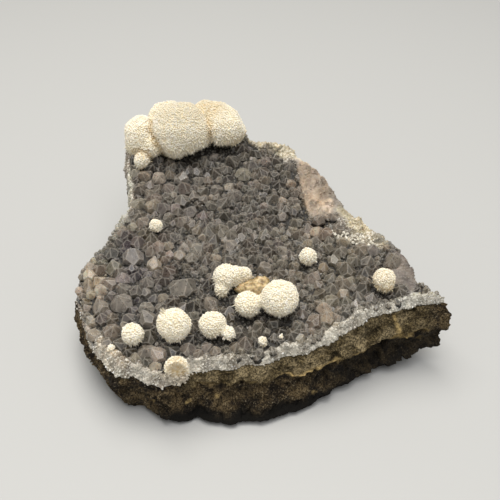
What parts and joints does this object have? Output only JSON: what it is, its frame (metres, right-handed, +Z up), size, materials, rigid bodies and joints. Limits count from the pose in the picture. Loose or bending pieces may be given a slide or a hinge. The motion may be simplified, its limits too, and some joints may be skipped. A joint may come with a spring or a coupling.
{
  "type": "okenite puffball mineral specimen",
  "caption": "Cream balls of radiating fibres grown on a crust of frosted grey-lavender quartz points, over a slab of dark broken basalt that rests on its flat underside.",
  "frame": {"origin": "a point on the flat resting face, under the middle of the quartz crust", "axes": "+X towards the right end of the specimen, +Y towards its high back with the large balls, +Z up"},
  "size_m": [0.1505, 0.1417, 0.0747],
  "materials": {
    "basalt": "rough broken rock, earthy dark brown",
    "quartz": "frosted translucent crystal faces, pale grey-lavender",
    "okenite": "velvety fibre tips, warm white",
    "gyrolite": "waxy, translucent honey brown"
  },
  "bodies": {
    "root": {"basalt_matrix": "basalt", "quartz_druse": "quartz", "gyrolite_lump": "gyrolite", "okenite_cluster": "okenite", "okenite_kidney": "okenite", "okenite_twin_large": "okenite", "okenite_twin_small": "okenite", "okenite_ball_front": "okenite", "okenite_ball_corner": "okenite", "okenite_ball_left": "okenite", "okenite_ball_rear": "okenite", "okenite_ball_right": "okenite", "okenite_broken_ball": "okenite", "okenite_tuft_front": "okenite", "okenite_tuft_small": "okenite", "okenite_tuft_left": "okenite"}
  },
  "joints": []
}
